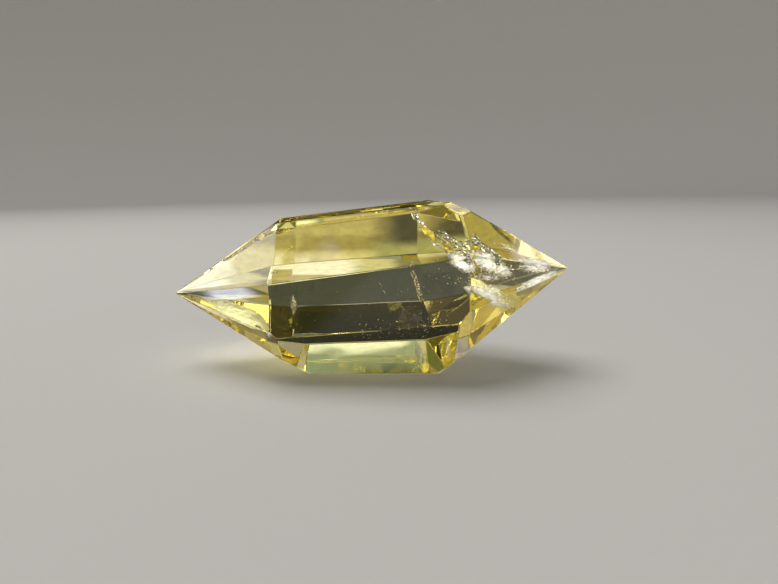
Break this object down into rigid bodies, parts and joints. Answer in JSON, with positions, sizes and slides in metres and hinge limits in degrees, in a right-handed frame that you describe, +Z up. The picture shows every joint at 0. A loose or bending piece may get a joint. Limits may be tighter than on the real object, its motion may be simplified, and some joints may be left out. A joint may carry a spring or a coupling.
{
  "type": "double terminated quartz point",
  "caption": "Clear honey-yellow quartz crystal, polished flat: a faceted body with a sharp pyramid point at both ends, lying on a body facet.",
  "frame": {"origin": "under the middle of the crystal, on the surface that it rests on", "axes": "+Z up, +X along the crystal from its narrower end to its wider end, -Y to the front"},
  "size_m": [0.06, 0.024, 0.0248],
  "materials": {
    "citrine": "polished, clear, with a few inner cracks and veils"
  },
  "bodies": {
    "root": {"quartz_point": "citrine"}
  },
  "joints": []
}
